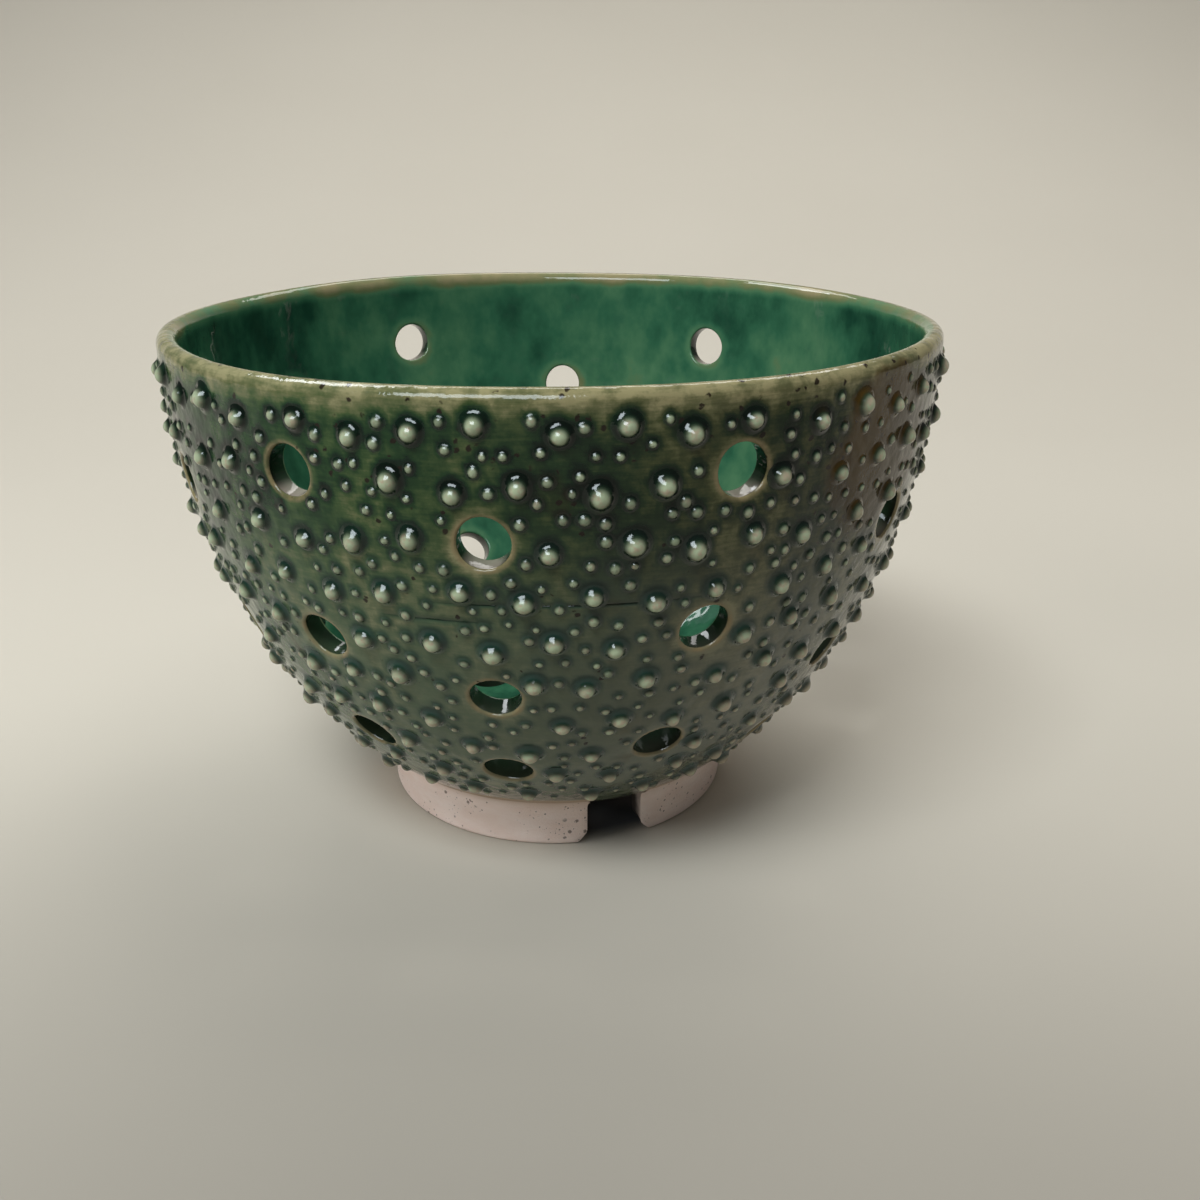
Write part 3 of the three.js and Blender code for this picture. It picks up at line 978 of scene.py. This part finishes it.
def on_inside(points):
    """Which points lie inside the bowl, by the middle of the wall's thickness."""
    drops = np.linspace(LIP_HEIGHT, WALL_LENGTH, MIDDLE_STEPS)
    radius, level = (np.array(wall_profile(drops)[:2]) + inner_rows(drops)) / 2
    between = np.interp(points[:, 2], level[::-1], radius[::-1])
    above = points[:, 2] > FOOT_HEIGHT + FLOOR_THICKNESS / 2
    return (np.hypot(points[:, 0], points[:, 1]) < between) & above


def over_foot(points):
    """Which points lie over the foot ring and not over its notches."""
    pitch = 360 / NOTCH_COUNT
    turned = np.degrees(angles_of(points)) - FIRST_NOTCH_ANGLE
    from_notch = np.abs((turned + pitch / 2) % pitch - pitch / 2)
    outward = np.hypot(points[:, 0], points[:, 1])
    return (outward > FOOT_RADIUS - FOOT_WALL) & (np.radians(from_notch) * outward > NOTCH_WIDTH / 2)


def hole_gaps(points):
    """Distance from each point to the edge of the nearest hole in the wall."""
    gaps = np.full(len(points), NO_HOLE)
    for centre, axis in zip(hole_points, hole_axes):
        here = points - centre
        along = here @ axis
        across = np.linalg.norm(here - along[:, None] * axis, axis=1)
        gaps = np.minimum(gaps, np.where(np.abs(along) < GAP_SPAN, across - HOLE_RADIUS, NO_HOLE))
    return gaps


def bowl_piece(glaze):
    """The bowl with what its glaze reads at each vertex."""
    body = bowl_body()
    piece, used = made("bowl", body.all_points(), body.faces, glaze)
    bored, sills = np.zeros((2, body.count))
    bores = np.concatenate(body.bores)
    bored[bores] = 1
    sills[bores] = np.concatenate(body.sills)
    ideal = body.all_points()[used]
    note(piece, "bore", bored[used])
    note(piece, "sill", sills[used])
    note(piece, "inside", on_inside(ideal))
    note(piece, "pool", pools(ideal))
    note(piece, "bare", over_foot(ideal))
    note(piece, "hole_gap", hole_gaps(ideal))
    settle(piece, ideal)
    return piece


def bead_piece(name, angles, drops, radii, heights, bareness, sides, glaze):
    """Drops of slip that grow out of the wall, as one object."""
    reach, rise = np.array(BEAD_OUTLINE).T
    turn = np.linspace(0, 2 * math.pi, sides, endpoint=False)
    oval = rng.uniform(*OVALS, len(angles))
    droop = rng.uniform(*DROOPS, len(angles))
    reaches = np.append(np.repeat(reach, sides), [0, reach[0]])
    skin = Skin()
    feet, flanks, caps = [], [], []
    for k, (angle, drop) in enumerate(zip(angles, drops)):
        sag = droop[k] * heights[k]
        across = np.outer(reach * radii[k], np.cos(turn) * oval[k])
        down = np.outer(reach * radii[k], np.sin(turn) / oval[k])
        lean = (sag * np.maximum(rise, 0) ** 2)[:, None]
        foot, out = on_wall(angle + np.degrees(across / wall_profile(drop)[0]), drop + down + lean)
        grid = skin.add(foot + out * (rise * heights[k])[:, None, None])
        skin.quads(grid)
        feet.append(foot.reshape(-1, 3))
        foot, out = on_wall(angle, drop + np.array([sag, 0]))
        tip, root = skin.add(foot + out * np.array([[heights[k]], [-ROOT * heights[k]]]))
        feet.append(foot)
        flanks.append(step(reaches, *FLANK_REACH))
        caps.append(step(reaches, *CAP_REACH) * bareness[k])
        for i in range(sides):
            j = (i + 1) % sides
            skin.faces.append([int(grid[-1, i]), int(grid[-1, j]), int(tip)])
            skin.faces.append([int(grid[0, j]), int(grid[0, i]), int(root)])
    piece, _ = made(name, skin.all_points(), skin.faces, glaze)
    note(piece, "pool", pools(np.concatenate(feet)))
    note(piece, "flank", np.concatenate(flanks))
    note(piece, "cap", np.concatenate(caps))
    settle(piece, skin.all_points())
    return piece


glaze_of_wall = wall_glaze()
glaze_of_large = bead_glaze("large_bead_glaze", LARGE_ROUGHNESS)
glaze_of_small = bead_glaze("small_bead_glaze", SMALL_ROUGHNESS)
clay_of_foot = bare_clay()

large_bare = rng.uniform(*LARGE_BARENESS, len(large_angles))
small_bare = rng.uniform(*SMALL_BARENESS, len(small_angles))
large_shape = (CAP_RADIUS * large_sizes, CAP_HEIGHT * large_sizes, large_bare, LARGE_SIDES)
small_shape = (SMALL_RADIUS * small_sizes, SMALL_HEIGHT * small_sizes, small_bare, SMALL_SIDES)
bowl = bowl_piece(glaze_of_wall)
large = bead_piece("large_beads", large_angles, large_drops, *large_shape, glaze_of_large)
small = bead_piece("small_beads", small_angles, small_drops, *small_shape, glaze_of_small)
for piece in (bowl, large, small):
    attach(piece, "root")
    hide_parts("bowl_wall")


# The foot


def foot_section():
    """Outline of the foot ring's worn, coved section: radius and level of each point."""
    inside = FOOT_RADIUS - FOOT_WALL
    section = []
    for centre, first in ((inside + FOOT_EDGE, 180), (FOOT_RADIUS - FOOT_EDGE, 270)):
        for turn in np.radians(np.linspace(first, first + 90, FOOT_EDGE_ROWS)):
            section.append((centre + FOOT_EDGE * math.cos(turn), FOOT_EDGE + FOOT_EDGE * math.sin(turn)))
    for level in np.linspace(FOOT_EDGE, FOOT_HEIGHT - FOOT_COVE, FOOT_SIDE_ROWS)[1:-1]:
        section.append((FOOT_RADIUS, level))
    low = np.array([FOOT_RADIUS, FOOT_HEIGHT - FOOT_COVE])
    bend = np.array([FOOT_RADIUS, FOOT_HEIGHT - FOOT_COVE / 3])
    high = np.array([SEAT_RADIUS, FOOT_HEIGHT])
    for t in np.linspace(0, 1, FOOT_COVE_ROWS):
        section.append(tuple((1 - t) ** 2 * low + 2 * t * (1 - t) * bend + t * t * high))
    for radius in np.linspace(SEAT_RADIUS, inside, FOOT_SEAT_ROWS)[1:]:
        section.append((radius, FOOT_HEIGHT))
    for level in np.linspace(FOOT_HEIGHT, FOOT_EDGE, FOOT_SIDE_ROWS)[1:-1]:
        section.append((inside, level))
    return np.array(section)


def notch_side(section):
    """Angle from a notch's middle to its side at each point of a section, more at its rounded corners."""
    corner = NOTCH_CORNER * np.clip(1 - section[:, 1] / NOTCH_CORNER, 0, 1) ** 2
    return np.arcsin(NOTCH_WIDTH / 2 / section[:, 0]) + corner / section[:, 0]


def foot_arc(number):
    """One arc of the foot ring: its section swept from notch to notch, with rounded ends."""
    pitch = 360 / NOTCH_COUNT
    start = math.radians(FIRST_NOTCH_ANGLE + number * pitch)
    finish = start + math.radians(pitch)
    section = foot_section()
    end = section + (section.mean(axis=0) - section) * FOOT_END_INSET
    begin, close = start + notch_side(section), finish - notch_side(section)
    rounded = notch_side(end) + FOOT_END_ROUND / section[:, 0]
    rows = [(end, start + notch_side(end)), (section, start + rounded)]
    for share in np.linspace(0, 1, FOOT_STEPS + 1)[2:-2]:
        rows.append((section, begin + (close - begin) * share))
    rows += [(section, finish - rounded), (end, finish - notch_side(end))]

    skin = Skin()
    numbers = skin.add([around(*outline.T, angle) for outline, angle in rows])
    skin.quads(numbers)
    skin.faces += [numbers[0].tolist(), numbers[-1].tolist()]
    piece, _ = made(f"foot_{number + 1}", skin.all_points(), skin.faces, clay_of_foot)
    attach(piece, "root")
    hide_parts(f"foot_arc_{number + 1}")


for arc in range(NOTCH_COUNT):
    foot_arc(arc)


# Floor, light and camera

SHEET_FRONT = -950.0
SHEET_BACK = 260.0
SHEET_HALF_WIDTH = 1000.0
SHEET_BEND = 1400.0
SHEET_RISE = 80.0  # degrees of the bend
SHEET_FLAT_ROWS = 12
SHEET_BEND_ROWS = 60
SHEET_COLUMNS = 21

# Lamps: place and aim in metres, width and height, watts, colour, whether glaze mirrors it, whether it lights
LAMPS = {
    "window": ((-0.36, -0.8, 0.78), (0, 0, 0.06), (0.85, 0.5), 14, (0.84, 0.94, 1.0), True, False),
    "front": ((-0.3, -0.62, 1.05), (0, 0, 0.05), (0.6, 0.3), 10.5, (0.95, 0.98, 1.0), False, True),
    "side": ((-1.0, -0.3, 0.45), (0, 0, 0.05), (0.6, 0.6), 3.7, (1.0, 0.99, 0.97), False, True),
    "left": ((-0.7, 0.6, 1.2), (0, 0, 0.05), (0.55, 0.4), 8, (0.95, 0.98, 1.0), True, False),
    "back": ((0.1, 0.8, 0.95), (0.05, -0.1, 0.05), (1.2, 0.3), 5, (1.0, 0.97, 0.94), True, True),
    "top": ((0.55, 0.3, 1.4), (0.1, 0.1, 0.0), (1.2, 0.9), 6, (1.0, 0.98, 0.95), False, True),
}
SURROUND = (1.0, 0.97, 0.91, 1)
SURROUND_LIGHT = 0.1
SURROUND_SEEN = 0.5

SENSOR_WIDTH = 36
FOCAL_LENGTH = 36.03
NEAR_CLIP = 0.01
CAMERA_PLACE = (0, -0.2437, 0.1351)
CAMERA_DOWN = 21.6
CAMERA_RIGHT = 2.24


def backdrop():
    """A pale sheet that lies on the table and curves up behind."""
    path = [(y, 0.0) for y in np.linspace(SHEET_FRONT, SHEET_BACK, SHEET_FLAT_ROWS)]
    for turn in np.radians(np.linspace(0, SHEET_RISE, SHEET_BEND_ROWS))[1:]:
        path.append((SHEET_BACK + SHEET_BEND * math.sin(turn), SHEET_BEND - SHEET_BEND * math.cos(turn)))
    across = np.linspace(-SHEET_HALF_WIDTH, SHEET_HALF_WIDTH, SHEET_COLUMNS)
    skin = Skin()
    skin.quads(skin.add([[(x, y, z) for x in across] for y, z in path]), closed=False)
    piece, _ = made("backdrop", skin.all_points(), skin.faces, paper())


def lamp(name, place, aim, size, power, colour, mirrored, lights):
    """A soft rectangular lamp."""
    light = bpy.data.lights.new(name, "AREA")
    light.shape = "RECTANGLE"
    light.size, light.size_y = size
    light.energy = power
    light.color = colour
    holder = bpy.data.objects.new(name, light)
    holder.location = place
    holder.visible_glossy = mirrored
    holder.visible_diffuse = lights
    holder.rotation_euler = (Vector(aim) - Vector(place)).to_track_quat("-Z", "Y").to_euler()
    bpy.context.collection.objects.link(holder)


def studio():
    """A faint even light from all round, brighter where it is seen past the sheet."""
    world = bpy.data.worlds.new("studio")
    world.use_nodes = True
    tree = world.node_tree
    surround = tree.nodes["Background"]
    surround.inputs["Color"].default_value = SURROUND
    strength = tree.nodes.new("ShaderNodeMapRange")
    strength.inputs["To Min"].default_value = SURROUND_LIGHT
    strength.inputs["To Max"].default_value = SURROUND_SEEN
    seen = tree.nodes.new("ShaderNodeLightPath").outputs["Is Camera Ray"]
    tree.links.new(seen, strength.inputs["Value"])
    tree.links.new(strength.outputs[0], surround.inputs["Strength"])
    bpy.context.scene.world = world
    bpy.context.scene.view_settings.view_transform = "Standard"


def camera():
    """The photograph's view."""
    lens = bpy.data.cameras.new("camera")
    lens.sensor_width = SENSOR_WIDTH
    lens.lens = FOCAL_LENGTH
    lens.clip_start = NEAR_CLIP
    holder = bpy.data.objects.new("camera", lens)
    holder.location = CAMERA_PLACE
    holder.rotation_euler = (math.radians(90 - CAMERA_DOWN), 0, math.radians(-CAMERA_RIGHT))
    bpy.context.collection.objects.link(holder)
    bpy.context.scene.camera = holder


backdrop()
for name, settings in LAMPS.items():
    lamp(name, *settings)
studio()
camera()
